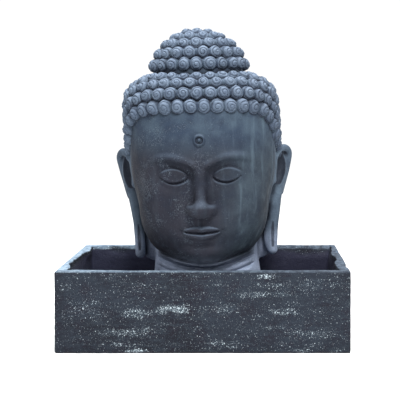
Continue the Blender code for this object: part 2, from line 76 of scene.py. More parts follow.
CHIN = 0.290
THIRD = 0.175
EYE_WIDTH = 0.092
MOUTH_WIDTH = 0.138
SKULL_HALF_WIDTH = 0.268
SHOULDER = 0.925
SHOULDER_SWELL = 0.092
SHOULDER_REACH = 0.080
NECK_RADIUS = 0.191
NECK_FLARE = 0.022
CURL_PITCH = 0.0455
CURL_RADIUS = 0.0245
CURL_RISE = 0.021
CURL_PROUD = 0.002
CURL_NOD = math.radians(24)
CURL_GROOVE = 0.0046
CURL_TURNS = 2.4
CURL_FALL = 1.7
CURL_FULLNESS = 0.54
CURL_WEAR = ((0.0013, 0.012, (3, 4, 5)), (0.0016, 0.035, (9, 10, 11)))
# How much painted shade darkens the curls' spiral grooves.
GROOVE_PAINTED_SHADE = 0.34
LINK_RADIUS = 0.016
LINK_RISE = 0.0135
ROW_CLEARANCE = 0.72
COLLAR_CLEARANCE = 0.62
EDGE_CLEARANCE = 0.45
UPPER_SPOTS = 30
TOPKNOT_RADIUS = 0.169
TOPKNOT_RISE = 0.156
TOPKNOT_BACK = 0.030
TOPKNOT_BASE = 0.952
TOPKNOT_TIERS = 5
HAIRLINE = 0.822
FOREHEAD_RING_HEIGHT = 0.724
NOSE_BASE = CHIN + THIRD
BROW = CHIN + 2 * THIRD
EYE_LINE = CHIN + 1.737 * THIRD
MOUTH_LINE = CHIN + 0.669 * THIRD

# How dark the painted shade gets deep in the ears' hollows and slits.
EAR_HOLLOW_PAINTED_SHADE = 0.45
EAR_SLIT_PAINTED_SHADE = 0.66

WALL = 0.032
FLOOR = 0.040
BASIN_INSET = 0.0012
OUTER_CORNER = 0.004
INNER_CORNER = 0.008
WALL_WAVE = 0.011
CHIP_DEPTH = 0.009
BACK_CHAMFER = 0.016
# Patches of pale flecks on the front wall: side, height, half width, half height and strength.
FLECK_PATCHES = (
    (-0.10, 0.147, 0.060, 0.020, 0.95), (0.08, 0.150, 0.090, 0.018, 0.50),
    (-0.38, 0.150, 0.080, 0.034, 0.42), (-0.22, 0.135, 0.060, 0.020, 0.65),
    (-0.27, 0.070, 0.100, 0.014, 0.60), (0.215, 0.262, 0.045, 0.009, 1.00),
    (0.20, 0.200, 0.120, 0.012, 0.60), (0.36, 0.066, 0.110, 0.018, 0.42),
    (-0.22, 0.008, 0.050, 0.008, 0.95),
)


# Shapes of the field

def smooth_min(a, b, soft):
    if soft <= 0:
        return np.minimum(a, b)
    near = np.maximum(soft - np.abs(a - b), 0) / soft
    return np.minimum(a, b) - near * near * (soft / 4)


def with_box(distance, spots, reach):
    """Marks a distance with the box that holds the spots and their reach."""
    spots = np.array(spots, float)
    distance.box = (spots.min(axis=0) - reach, spots.max(axis=0) + reach)
    return distance


def ellipsoid(centre, radii):
    def distance(x, y, z):
        u, v, w = ((p - c) / r for p, c, r in zip((x, y, z), centre, radii))
        k = np.sqrt(u * u + v * v + w * w)
        slope = np.sqrt((u / radii[0]) ** 2 + (v / radii[1]) ** 2 + (w / radii[2]) ** 2)
        return k * (k - 1) / np.maximum(slope, 1e-6)

    return with_box(distance, [centre], np.array(radii))


def squared_dome(centre, radii, plan, rise):
    """A dome whose exponent is plan seen from above and rise seen from the side: 2 is round."""

    def distance(x, y, z):
        u, v, w = (np.abs(p - c) / r for p, c, r in zip((x, y, z), centre, radii))
        flat = np.maximum((u**plan + v**plan) ** (1 / plan), 1e-6)
        k = np.maximum((flat**rise + w**rise) ** (1 / rise), 1e-6)
        level = (flat / k) ** (rise - 1)
        along_x = level * (u / flat) ** (plan - 1) / radii[0]
        along_y = level * (v / flat) ** (plan - 1) / radii[1]
        along_z = (w / k) ** (rise - 1) / radii[2]
        slope = np.sqrt(along_x**2 + along_y**2 + along_z**2)
        return (k - 1) / np.maximum(slope, 1e-6)

    return with_box(distance, [centre], np.array(radii))


def limb(points, radii):
    """A round limb through the points, with a radius at each."""
    spots = [np.array(p, float) for p in points]

    def distance(x, y, z):
        found = None
        for a, b, from_radius, to_radius in zip(spots, spots[1:], radii, radii[1:]):
            way = b - a
            share = (x - a[0]) * way[0] + (y - a[1]) * way[1] + (z - a[2]) * way[2]
            share = np.clip(share / way.dot(way), 0, 1)
            off = [p - a[n] - share * way[n] for n, p in enumerate((x, y, z))]
            reach = np.sqrt(off[0] ** 2 + off[1] ** 2 + off[2] ** 2)
            reach = reach - (from_radius + (to_radius - from_radius) * share)
            found = reach if found is None else np.minimum(found, reach)
        return found

    return with_box(distance, spots, max(radii))


def bent_limb(points, radii, parts=6):
    """A limb along a smooth curve through the points."""
    spots = np.column_stack([np.array(points, float), np.array(radii, float)])
    ends = np.concatenate([2 * spots[:1] - spots[1:2], spots, 2 * spots[-1:] - spots[-2:-1]])
    curve = []
    for a, b, c, d in zip(ends, ends[1:], ends[2:], ends[3:]):
        for t in np.arange(parts) / parts:
            pull = (c - a) * t + (2 * a - 5 * b + 4 * c - d) * t**2 + (3 * b - a - 3 * c + d) * t**3
            curve.append(b + pull / 2)
    curve = np.array(curve + [spots[-1]])
    return limb(curve[:, :3], curve[:, 3])


class Clay:
    """A block of grid points, each with its distance to the surface."""

    def __init__(self, low, high, step):
        self.step = step
        self.low = np.array(low, float)
        self.count = np.ceil((np.array(high, float) - self.low) / step).astype(int) + 1
        self.values = np.full(self.count, EMPTY, np.float32)
        self.axes = [
            (self.low[n] + step * np.arange(self.count[n])).astype(np.float32) for n in range(3)
        ]

    def part(self, box):
        low = np.floor((np.array(box[0]) - self.low) / self.step).astype(int)
        high = np.ceil((np.array(box[1]) - self.low) / self.step).astype(int) + 1
        ends = zip(np.clip(low, 0, self.count), np.clip(high, 0, self.count))
        cut = tuple(slice(a, b) for a, b in ends)
        x, y, z = (self.axes[n][cut[n]] for n in range(3))
        return cut, (x[:, None, None], y[None, :, None], z[None, None, :])

    def near(self, shape, soft):
        margin = soft + 0.02
        return self.part((shape.box[0] - margin, shape.box[1] + margin))

    def add(self, shape, soft=0.0):
        cut, spots = self.near(shape, soft)
        self.values[cut] = smooth_min(self.values[cut], shape(*spots), soft)

    def carve(self, shape, soft=0.0):
        cut, spots = self.near(shape, soft)
        self.values[cut] = -smooth_min(-self.values[cut], shape(*spots), soft)

    def at(self, points):
        """The distance at any points, worked out between the grid's."""
        place = np.clip((points - self.low) / self.step, 0, np.array(self.values.shape) - 1.001)
        cell = place.astype(int)
        return blended(place - cell, lambda corner: self.values[tuple((cell + corner).T)])

    def slope(self, points):
        """The unit way out of the stone at any points."""
        steps = self.step * np.eye(3)
        way = np.stack([self.at(points + step) - self.at(points - step) for step in steps], 1)
        return way / np.maximum(np.linalg.norm(way, axis=1), 1e-9)[:, None]

    def openness(self, points):
        """1 where the stone stands free, towards 0 in its hollows and folds; the sculpture's finishes
        paint shade and light by it.
        """
        ways = self.slope(points)
        seen = 0
        for reach, weight in ((0.006, 0.45), (0.013, 0.40), (0.030, 0.15)):
            seen = seen + weight * np.clip(self.at(points + reach * ways) / reach, 0, 1.15)
        return seen

    def settle(self):
        """Fills the grid's corner-to-corner contacts, where the surface would touch itself."""
        while True:
            inside = self.values < 0
            marks = np.zeros(inside.shape, bool)
            for axis in range(3):
                square = [shifted(inside, axis, over, up) for over, up in SQUARE]
                crossed = (square[0] == square[2]) & (square[1] == square[3])
                crossed &= square[0] != square[1]
                for over, up in SQUARE:
                    shifted(marks, axis, over, up)[...] |= crossed
            cells = np.array(inside.shape) - 1
            block = {c: inside[corner_cut(c, cells)] for c in CORNERS}
            full = sum(block[c].astype(np.uint8) for c in CORNERS)
            for c in CORNERS[:4]:
                other = tuple(1 - n for n in c)
                apart = (full == 2) & block[c] & block[other]
                apart |= (full == 6) & ~block[c] & ~block[other]
                for mark in CORNERS:
                    marks[corner_cut(mark, cells)] |= apart
            marks &= ~inside
            if not marks.any():
                return
            self.values[marks] = -0.05 * self.step

    def skin(self):
        """Points and four-sided faces: one point in every cell of the grid that the surface crosses."""
        self.settle()
        inside = self.values < 0
        cells = np.array(self.values.shape) - 1
        full = np.zeros(cells, np.uint8)
        for c in CORNERS:
            full += inside[corner_cut(c, cells)]
        crossed = np.stack(np.nonzero((full > 0) & (full < 8)), 1)
        number = np.full(cells, -1, np.int32)
        number[tuple(crossed.T)] = np.arange(len(crossed), dtype=np.int32)
        points = self.low + self.step * (crossed + self.mean_crossing(crossed))
        return one_body(points, self.faces(inside, number))

    def mean_crossing(self, crossed):
        at = {c: self.values[tuple((crossed + c).T)] for c in CORNERS}
        total = np.zeros((len(crossed), 3))
        hits = np.zeros(len(crossed))
        for start in CORNERS:
            for axis in range(3):
                if start[axis]:
                    continue
                end = tuple(1 if n == axis else start[n] for n in range(3))
                crosses = (at[start] < 0) != (at[end] < 0)
                share = at[start] / np.where(crosses, at[start] - at[end], 1)
                for n in range(3):
                    total[:, n] += np.where(crosses, start[n] + (share if n == axis else 0), 0)
                hits += crosses
        return total / hits[:, None]

    def faces(self, inside, number):
        found = []
        for axis in range(3):
            over, up = (axis + 1) % 3, (axis + 2) % 3
            first = tuple(slice(0, -1) if n == axis else slice(None) for n in range(3))
            second = tuple(slice(1, None) if n == axis else slice(None) for n in range(3))
            edge = np.stack(np.nonzero(inside[first] != inside[second]), 1)
            leaving = inside[first][tuple(edge.T)]
            ring = []
            for back_over, back_up in ((1, 1), (0, 1), (0, 0), (1, 0)):
                cell = edge.copy()
                cell[:, over] -= back_over
                cell[:, up] -= back_up
                ring.append(number[tuple(cell.T)])
            ring = np.stack(ring, 1)
            ring[~leaving] = ring[~leaving][:, ::-1]
            found.append(ring)
        return np.concatenate(found)


CORNERS = [(i, j, k) for i in (0, 1) for j in (0, 1) for k in (0, 1)]
SQUARE = ((0, 0), (1, 0), (1, 1), (0, 1))


def blended(share, value_at):
    """Blends the values at a cell's corners, by each point's share of the cell."""
    found = 0
    for corner in CORNERS:
        weight = 1
        for n, up in enumerate(corner):
            weight = weight * (share[..., n] if up else 1 - share[..., n])
        found = found + weight * value_at(corner)
    return found


def corner_cut(corner, cells):
    return tuple(slice(corner[n], cells[n] + corner[n]) for n in range(3))


def shifted(grid, axis, over, up):
    """The grid from its start, or from one point on, along the two axes other than this one."""
    cut = [slice(None)] * 3
    for n, step in (((axis + 1) % 3, over), ((axis + 2) % 3, up)):
        cut[n] = slice(step, grid.shape[n] - 1 + step)
    return grid[tuple(cut)]


def one_body(points, faces):
    """The largest connected sheet of faces, leaving out specks and the walls of sealed hollows."""
    label = np.arange(len(points))
    while True:
        lowest = label[faces].min(axis=1)
        fresh = label.copy()
        for corner in range(faces.shape[1]):
            np.minimum.at(fresh, faces[:, corner], lowest)
        fresh = fresh[fresh]
        if (fresh == label).all():
            break
        label = fresh
    kept = label == np.bincount(label).argmax()
    number = np.cumsum(kept) - 1
    return points[kept], number[faces[kept[faces[:, 0]]]]


def gauss(t):
    return np.exp(-t * t)


def ramp(t):
    t = np.clip(t, 0, 1)
    return t * t * (3 - 2 * t)


def swell(t):
    return np.maximum(np.sin(np.clip(t, 0, 1) * math.pi), 0) ** 0.75


LATTICE = np.random.default_rng(SEED).uniform(-1, 1, (32, 32, 32))


def unevenness(points, size, shift=0):
    """Smooth noise from -1 to 1, with lumps about this size across."""
    place = np.asarray(points) / size + 0.37 * shift
    cell = np.floor(place).astype(int)

    def lump(corner):
        spot = (cell + corner + 5 * shift) % len(LATTICE)
        return LATTICE[spot[..., 0], spot[..., 1], spot[..., 2]]

    return blended(ramp(place - cell), lump)


# Head

def scalp(x, y, z):
    x = x / (1 + SHOULDER_SWELL * gauss((z - SHOULDER) / SHOULDER_REACH))
    cranium = squared_dome((0, -0.015, 0.720), (SKULL_HALF_WIDTH, 0.272, 0.235), 2.3, 3.5)
    nape = ellipsoid((0, -0.085, 0.620), (0.255, 0.205, 0.270))
    return smooth_min(cranium(x, y, z), nape(x, y, z), 0.05)


def neck(x, y, z):
    radius = NECK_RADIUS + NECK_FLARE * ramp((0.34 - z) / 0.30)
    reach = np.sqrt((x / radius) ** 2 + ((y + 0.035) / (0.95 * radius)) ** 2)
    return np.maximum((reach - 1) * radius, z - 0.50)


with_box(scalp, [(0, -0.015, 0.65)], (0.32, 0.32, 0.34))
with_box(neck, [(0, -0.03, 0.25)], (0.28, 0.28, 0.30))


def add_masses(clay):
    clay.add(scalp)
    clay.add(squared_dome((0, 0.050, 0.515), (0.236, 0.205, 0.245), 2.2, 2.5), 0.06)
    clay.add(ellipsoid((0, 0.165, CHIN + 0.043), (0.082, 0.083, 0.047)), 0.06)
    clay.add(ellipsoid((0, 0.155, 0.420), (0.110, 0.100, 0.075)), 0.06)
    for side in (-1, 1):
        clay.add(ellipsoid((side * 0.118, 0.160, 0.505), (0.085, 0.078, 0.100)), 0.06)
    clay.add(neck, 0.025)


def add_eyes(clay):
    for side in (-1, 1):
        clay.carve(ellipsoid((side * 0.098, 0.292, 0.606), (0.086, 0.060, 0.044)), 0.035)
        clay.carve(ellipsoid((side * 0.040, 0.272, 0.604), (0.024, 0.030, 0.030)), 0.018)
        clay.add(ellipsoid((side * EYE_WIDTH, 0.192, 0.596), (0.060, 0.053, 0.040)), 0.016)


def add_nose(clay):
    share = np.linspace(0, 1, 14)
    radii = 0.0135 + 0.0085 * share
    front = 0.254 + 0.066 * share**1.12
    heights = BROW + 0.015 - share * (THIRD - 0.005)
    clay.add(limb(list(zip(0 * share, front - radii, heights)), list(radii)), 0.030)
    clay.add(ellipsoid((0, 0.298, NOSE_BASE + 0.021), (0.025, 0.025, 0.020)), 0.022)
    clay.add(ellipsoid((0, 0.268, NOSE_BASE + 0.021), (0.042, 0.032, 0.019)), 0.018)
    for side in (-1, 1):
        wing = [(side * 0.022, 0.290, NOSE_BASE + 0.017), (side * 0.036, 0.258, NOSE_BASE + 0.019)]
        clay.add(limb(wing, [0.0150, 0.0175]), 0.014)
        clay.carve(ellipsoid((side * 0.0180, 0.284, NOSE_BASE - 0.001), (0.0085, 0.015, 0.007)), 0.004)


def brow_relief(x, z):
    out = np.abs(x)
    share = np.clip((out - 0.020) / 0.160, 0, 1)
    line = BROW - 0.006 + 0.034 * np.sin(share * math.pi * 0.72) - 0.010 * share**2
    ridge = gauss((z - line) / np.where(z > line, 0.0180, 0.0095))
    return 0.0100 * ridge * ramp((0.205 - out) / 0.06) * ramp(out / 0.03)


def eye_relief(x, z):
    out = np.abs(x)
    inner = EYE_WIDTH / 2
    share = np.clip((out - inner) / EYE_WIDTH, 0, 1)
    dip = np.maximum(np.sin(share * math.pi), 0) ** 0.8
    lashes = EYE_LINE - 0.0165 * dip + 0.004 * share
    crease = EYE_LINE + 0.004 + 0.036 * swell((out - 0.034) / 0.126)
    across = ramp((out - inner + 0.008) / 0.014) * ramp((inner + EYE_WIDTH + 0.010 - out) / 0.016)
    lid = 0.0062 * across * ramp((crease - z) / 0.012) * ramp((z - lashes) / 0.0025)
    edge = 0.0022 * across * gauss((z - lashes - 0.0045) / 0.0030)
    below = 0.0036 * across * gauss((z - lashes + 0.0120) / 0.0075)
    slit = 0.0034 * across * gauss((z - lashes + 0.0010) / 0.0022)
    fold = ramp((out - 0.034) / 0.012) * ramp((0.162 - out) / 0.016)
    return lid + edge + below - slit - 0.0020 * gauss((z - crease) / 0.0034) * fold


def mouth_relief(x, z):
    out = np.abs(x)
    half = MOUTH_WIDTH / 2
    reach = np.clip(1 - (out / half) ** 2, 0, 1)
    turn_up = 0.004 * (out / half) ** 2
    line = MOUTH_LINE + turn_up - 0.0016 * gauss(out / 0.014)
    top = MOUTH_LINE + turn_up + 0.0235 * reach**0.8 - 0.004 * gauss(out / 0.009)
    bottom = MOUTH_LINE + turn_up - 0.0290 * reach**0.62
    upper = swell((z - line) / np.maximum(top - line, 1e-4)) * (z >= line)
    lower = swell((line - z) / np.maximum(line - bottom, 1e-4)) * (z < line)
    lips = (0.0130 * upper + 0.0155 * lower) * reach**0.55
    lips = lips - 0.0042 * gauss((z - line) / 0.0036) * ramp((half + 0.007 - out) / 0.01)
    corner = gauss((out - half - 0.007) / 0.009) * gauss((z - MOUTH_LINE - 0.003) / 0.010)
    under = gauss((z - MOUTH_LINE + 0.049) / 0.011) * gauss(out / 0.050)
    return lips - 0.0040 * corner - 0.0070 * under


def lip_groove_relief(x, z):
    out = np.abs(x)
    zone = ramp((z - MOUTH_LINE - 0.017) / 0.010) * ramp((NOSE_BASE + 0.001 - z) / 0.012)
    return (0.0022 * gauss((out - 0.011) / 0.0045) - 0.0035 * gauss(out / 0.0065)) * zone


def forehead_ring_relief(x, z):
    reach = np.sqrt(x**2 + (z - FOREHEAD_RING_HEIGHT) ** 2)
    ring = gauss((reach - 0.0165) / 0.0038)
    grooves = 0.0026 * gauss((reach - 0.0100) / 0.0024) + 0.0022 * gauss((reach - 0.0245) / 0.0035)
    return 0.0085 * ring + 0.0100 * gauss(reach / 0.0055) - grooves


def carve_face_relief(clay):
    cut, (x, y, z) = clay.part(((-0.22, 0.10, 0.30), (0.22, 0.36, 0.78)))
    relief = brow_relief(x, z) + eye_relief(x, z) + mouth_relief(x, z)
    relief = relief + lip_groove_relief(x, z) + forehead_ring_relief(x, z)
    clay.values[cut] -= relief * ramp((y - 0.12) / 0.05)


def carve_neck_folds(clay):
    cut, (x, y, z) = clay.part(((-0.24, -0.05, 0.16), (0.24, 0.20, 0.38)))
    sag = 0.028 * np.cos(np.clip(x / 0.17, -1, 1) * math.pi / 2)
    front = ramp((y + 0.05) / 0.08) * ramp((0.182 - np.abs(x)) / 0.022)
    for height, depth, roll in ((0.323, 0.011, 0.006), (0.291, 0.010, 0.006), (0.262, 0.008, 0.005)):
        off = z - height + sag
        clay.values[cut] += depth * gauss(off / 0.0042) * front
        clay.values[cut] -= roll * gauss((off + 0.0140) / 0.0105) * front


def mirrored(side, *spots):
    """The spots as they are on the right, side 1, or on the left, side -1."""
    return [(side * x, y, z) for x, y, z in spots]


def ear_hollow(side):
    spots = mirrored(side, (0.289, -0.017, 0.648), (0.287, -0.021, 0.608), (0.276, -0.013, 0.556))
    return bent_limb(spots, [0.0165, 0.0205, 0.0130])


def ear_slit(side):
    """The long slit of a lobe, finer in the right one."""
    spots = mirrored(side, (0.251, -0.016, 0.405), (0.2485, -0.009, 0.360), (0.248, -0.009, 0.314))
    narrow = 0.78 if side > 0 else 1.0
    return bent_limb(spots, [0.0026 * narrow, 0.0064 * narrow, 0.0040 * narrow])


def ear_painted_shade(points):
    """Painted shade for the ears: darker in their hollows and slits, 1 elsewhere."""
    x, y, z = points.T
    shade = np.ones(len(points))
    for side in (-1, 1):
        out_of_hollow = ramp(ear_hollow(side)(x, y, z) / 0.006)
        shade = np.minimum(shade, EAR_HOLLOW_PAINTED_SHADE + (1 - EAR_HOLLOW_PAINTED_SHADE) * out_of_hollow)
        out_of_slit = ramp(ear_slit(side)(x, y, z) / 0.004)
        shade = np.minimum(shade, EAR_SLIT_PAINTED_SHADE + (1 - EAR_SLIT_PAINTED_SHADE) * out_of_slit)
    return shade


def add_ear_back(clay, side):
    """The ear's body, its long lobe, and the stone that joins them to the head."""
    lobe = mirrored(
        side, (0.276, -0.050, 0.560), (0.265, -0.046, 0.490), (0.255, -0.038, 0.420),
        (0.249, -0.030, 0.355), (0.248, -0.026, 0.298),
    )
    clay.add(ellipsoid((side * 0.274, -0.052, 0.602), (0.034, 0.046, 0.082)), 0.02)
    clay.add(bent_limb(lobe, [0.023, 0.021, 0.019, 0.0185, 0.018]), 0.012)
    clay.add(ellipsoid((side * 0.250, -0.055, 0.375), (0.017, 0.036, 0.085)), 0.012)
    clay.add(ellipsoid((side * 0.246, -0.066, 0.480), (0.026, 0.036, 0.100)), 0.02)
    clay.add(ellipsoid((side * 0.200, -0.085, 0.370), (0.062, 0.038, 0.110)), 0.02)


def add_ear(clay, side):
    add_ear_back(clay, side)
    helix = mirrored(
        side, (0.258, 0.004, 0.610), (0.266, 0.006, 0.650), (0.282, -0.010, 0.672),
        (0.302, -0.038, 0.678), (0.317, -0.066, 0.658), (0.312, -0.078, 0.612),
        (0.299, -0.074, 0.560), (0.283, -0.062, 0.510),
    )
    clay.add(ellipsoid((side * 0.290, -0.070, 0.625), (0.027, 0.018, 0.066)), 0.010)
    rim = [0.009, 0.0115, 0.013, 0.0135, 0.0135, 0.0125, 0.012, 0.012]
    clay.add(bent_limb(helix, rim), 0.008)
    clay.carve(ear_hollow(side), 0.005)
    ridge = mirrored(side, (0.292, -0.056, 0.640), (0.291, -0.050, 0.600), (0.282, -0.034, 0.552))
    clay.add(bent_limb(ridge, [0.004, 0.005, 0.006]), 0.005)
    flap = mirrored(side, (0.255, 0.012, 0.592), (0.256, 0.010, 0.560))
    clay.add(limb(flap, [0.010, 0.012]), 0.012)
    if side > 0:
        clay.add(ellipsoid((0.238, -0.032, 0.350), (0.024, 0.018, 0.062)), 0.012)
    clay.carve(ear_slit(side), 0.003)


def weather(clay, every=4):
    """Leaves the stone a little uneven, as hand tools do, from noise at every fourth grid point."""
    axes = [axis[::every] for axis in clay.axes]
    coarse = np.stack(np.meshgrid(*axes, indexing="ij"), -1)
    lumps = 0.0016 * unevenness(coarse, 0.075, 1) + 0.0009 * unevenness(coarse, 0.028, 2)
    for axis in range(3):
        lumps = np.repeat(lumps, every, axis=axis)
        lumps = np.take(lumps, np.arange(clay.values.shape[axis]), axis=axis)
    clay.values += smoothed(lumps.astype(np.float32))


def smoothed(grid):
    for axis in range(3):
        for _ in range(2):
            grid = (np.roll(grid, 2, axis) + grid + np.roll(grid, -2, axis)) / 3
    return grid


def shaped_head():
    clay = Clay(*HEAD_GRID, HEAD_STEP)
    add_masses(clay)
    add_eyes(clay)
    add_nose(clay)
    carve_face_relief(clay)
    carve_neck_folds(clay)
    for side in (-1, 1):
        add_ear(clay, side)
    clay.add(topknot, 0.01)
    return clay


# Hair

def topknot(x, y, z):
    dome = ellipsoid((0, -TOPKNOT_BACK, TOPKNOT_BASE), (TOPKNOT_RADIUS, TOPKNOT_RADIUS, TOPKNOT_RISE))
    return dome(x, y, z)


with_box(topknot, [(0, -TOPKNOT_BACK, TOPKNOT_BASE)], 0.18)


def hairline_height(turn):
    """The hair's lower edge: level over the forehead, down the temples and behind the ears."""
    degrees = np.degrees(np.arccos(np.cos(turn)))
    drop = np.interp(
        degrees,
        [0, 36, 51, 61, 68, 78, 90, 104, 118, 135, 180],
        [0, 0.003, 0.021, 0.055, 0.102, 0.142, 0.170, 0.222, 0.300, 0.362, 0.386],
    )
    return HAIRLINE - drop


def crown_spots(turns, lifts):
    """Points of the scalp on rays that rise from its middle, one row for each turn."""
    middle = np.array([0, -TOPKNOT_BACK, 0.700])
    turn, lift = np.meshgrid(turns, lifts, indexing="ij")
    way = np.stack([np.sin(turn) * np.cos(lift), np.cos(turn) * np.cos(lift), np.sin(lift)], -1)
    near, far = np.zeros(turn.shape), np.full(turn.shape, 0.6)
    for _ in range(30):
        half = (near + far) / 2
        spots = middle + half[..., None] * way
        outside = scalp(spots[..., 0], spots[..., 1], spots[..., 2]) > 0
        near, far = np.where(outside, near, half), np.where(outside, half, far)
    return middle + near[..., None] * way


def spread(line, shift, closed):
    """Spots along a line of points at even spacing, near the curls' pitch."""
    if closed:
        line = np.concatenate([line, line[:1]])
    length = np.concatenate([[0], np.cumsum(np.linalg.norm(np.diff(line, axis=0), axis=1))])
    count = max(1, round(length[-1] / CURL_PITCH))
    wanted = np.arange(count) + shift if closed else np.arange(count + 1)
    wanted = wanted / count * length[-1]
    return np.stack([np.interp(wanted, length, line[:, n]) for n in range(3)], 1)


def at_lengths(fall, length, wanted):
    """The point of each fall line that lies this far down it."""
    return np.array([
        [np.interp(w, s, line[:, n]) for n in range(3)] for w, s, line in zip(wanted, length, fall)
    ])


def one_pitch_up(fall, length, place, row):
    """How far down each fall line the next row crosses it, one pitch away from this row's points."""
    gap = np.array([
        np.linalg.norm(line[:, None] - row[None], axis=2).min(axis=1) for line in fall
    ])
    found = np.zeros(len(place))
    for n, (g, s) in enumerate(zip(gap, length)):
        far = np.nonzero((s < place[n]) & (g >= CURL_PITCH))[0]
        if len(far):
            k = far[-1]
            share = (g[k] - CURL_PITCH) / max(g[k] - g[k + 1], 1e-6)
            found[n] = s[k] + min(share, 1) * (s[k + 1] - s[k])
    return found


def live_stretches(live):
    """The runs of neighbouring fall lines that a row still crosses, and whether it closes on itself."""
    if live.all():
        return [np.arange(len(live))], True
    first = np.argmin(live)
    order = np.roll(np.arange(len(live)), -first)
    order = order[live[order]]
    breaks = np.nonzero(np.diff(order) % len(live) != 1)[0] + 1
    return [run for run in np.split(order, breaks) if len(run) > 1], False


def scalp_rows():
    """Rows of curls along the hairline, each one pitch above the last, up to the topknot."""
    turns = np.radians(np.arange(0, 360, 2.0))
    fall = crown_spots(turns, np.radians(np.arange(88, -62, -2.0)))
    steps = np.linalg.norm(np.diff(fall, axis=1), axis=2)
    length = np.concatenate([np.zeros((len(turns), 1)), np.cumsum(steps, axis=1)], axis=1)
    rim = np.hypot(fall[..., 0], fall[..., 1] + TOPKNOT_BACK)[:, :UPPER_SPOTS]
    collar = [np.interp(TOPKNOT_RADIUS, r, s[:UPPER_SPOTS]) for r, s in zip(rim, length)]
    collar = np.array(collar) + COLLAR_CLEARANCE * CURL_PITCH
    rows = [(spread(at_lengths(fall, length, collar), 0.0, True), True)]
    edge = hairline_height(turns) + EDGE_CLEARANCE * CURL_PITCH
    place = np.array([np.interp(-h, -line[:, 2], s) for h, line, s in zip(edge, fall, length)])
    live = place > collar
    while live.any():
        points = at_lengths(fall, length, place)
        runs, closed = live_stretches(live)
        for run in runs:
            rows.append((spread(points[run], 0.5 * (len(rows) % 2), closed), closed))
        higher = one_pitch_up(fall, length, place, points[live])
        live &= higher > collar + ROW_CLEARANCE * CURL_PITCH
        place = np.where(live, higher, place)
    return rows


def topknot_rows():
    lifts = np.radians(np.arange(0, 90.5, 1.5))
    profile = np.stack([TOPKNOT_RADIUS * np.cos(lifts), TOPKNOT_RISE * np.sin(lifts)], 1)
    length = np.concatenate([[0], np.cumsum(np.linalg.norm(np.diff(profile, axis=0), axis=1))])
    rows = [(np.array([[0, -TOPKNOT_BACK, TOPKNOT_BASE + TOPKNOT_RISE]]), False)]
    for row in range(TOPKNOT_TIERS):
        place = length[-1] - (row + 1) * (length[-1] - 0.9 * CURL_PITCH) / TOPKNOT_TIERS
        radius = np.interp(place, length, profile[:, 0])
        height = TOPKNOT_BASE + np.interp(place, length, profile[:, 1])
        curls = max(5, round(2 * math.pi * radius / CURL_PITCH))
        turn = (np.arange(curls) + 0.5 * (row % 2)) * 2 * math.pi / curls
        ring = [radius * np.sin(turn), radius * np.cos(turn) - TOPKNOT_BACK, np.full(curls, height)]
        rows.append((np.stack(ring, 1), True))
    return rows


def links(spots, closed):
    """The spots halfway between a row's neighbouring curls."""
    if closed:
        return (spots + np.roll(spots, -1, axis=0)) / 2
    return (spots[:-1] + spots[1:]) / 2


def normals(shape, spots, reach=0.002):
    ways = reach * np.eye(3)
    slope = np.stack([shape(*(spots + way).T) - shape(*(spots - way).T) for way in ways], 1)
    return slope / np.linalg.norm(slope, axis=1)[:, None]


def hair_sites():
    """The spot and normal of each curl, and of each link between two curls of a row."""
    curls, between = [], []
    for shape, rows in ((scalp, scalp_rows()), (topknot, topknot_rows())):
        for spots, closed in rows:
            curls += zip(spots, normals(shape, spots))
            halfway = links(spots, closed)
            between += zip(halfway, normals(shape, halfway))
    return curls, between


def nodding(normal):
    """The way a curl points: down from the normal, so that each row steps over the next."""
    down = normal * normal[2] - np.array([0, 0, 1])
    down = down / max(np.linalg.norm(down), 0.2)
    way = normal * math.cos(CURL_NOD) + down * math.sin(CURL_NOD)
    return way / np.linalg.norm(way)


def add_dome(clay, spot, way, radius, rise):
    """A low dome on the scalp, standing up along the way."""
    middle = spot + CURL_PROUD * way
    cut, (x, y, z) = clay.part((middle - 1.6 * radius, middle + 1.6 * radius))
    off = (x - middle[0], y - middle[1], z - middle[2])
    up = off[0] * way[0] + off[1] * way[1] + off[2] * way[2]
    flat = off[0] ** 2 + off[1] ** 2 + off[2] ** 2 - up**2
    reach = np.sqrt(np.maximum(flat, 0) / radius**2 + up**2 / rise**2)
    clay.values[cut] = np.minimum(clay.values[cut], (reach - 1) * rise)


def curl_points(rng, spot, normal):
    """One snail curl: rings of points over a low dome whose rope winds in to a knob."""
    way = nodding(normal + rng.uniform(-0.05, 0.05, 3))
    side = np.cross(way, (0.3, 0.2, 1.0))
    side /= np.linalg.norm(side)
    other = np.cross(way, side)
    radius = CURL_RADIUS * rng.uniform(0.99, 1.06)
    rise = 1.08 * CURL_RISE * rng.uniform(0.96, 1.08)
    squash = rng.uniform(-0.04, 0.04)
    reach = (np.linspace(0, 1, CURL_RINGS)[:, None]) ** 0.85
    turn = np.arange(CURL_SIDES)[None, :] * 2 * math.pi / CURL_SIDES
    phase = reach * CURL_TURNS - turn / (2 * math.pi)
    across_rope = 2 * (phase - np.floor(phase)) - 1
    groove = across_rope**4 * ramp(reach / 0.25) * ramp((1.02 - reach) / 0.12)
    height = rise * np.maximum(1 - reach**CURL_FALL, 0) ** CURL_FULLNESS - CURL_GROOVE * groove
    turn = turn + rng.uniform(0, 2 * math.pi)
    along = radius * reach * np.cos(turn) * (1 + squash)
    across = radius * reach * np.sin(turn) * (1 - squash)
    points = spot + CURL_PROUD * way + height[..., None] * way
    points = points + along[..., None] * side + across[..., None] * other
    skirt = points[-1] - 0.5 * CURL_RISE * way
    depth = np.concatenate([groove, np.zeros((1, CURL_SIDES))])
    return np.concatenate([points.reshape(-1, 3), skirt]), depth.reshape(-1)


def curl_faces():
    ring = np.arange(CURL_SIDES)
    after = (ring + 1) % CURL_SIDES
    found = []
    for row in range(CURL_RINGS):
        start, nxt = row * CURL_SIDES, (row + 1) * CURL_SIDES
        found.append(np.stack([start + ring, nxt + ring, nxt + after, start + after], 1))
    return np.concatenate(found)


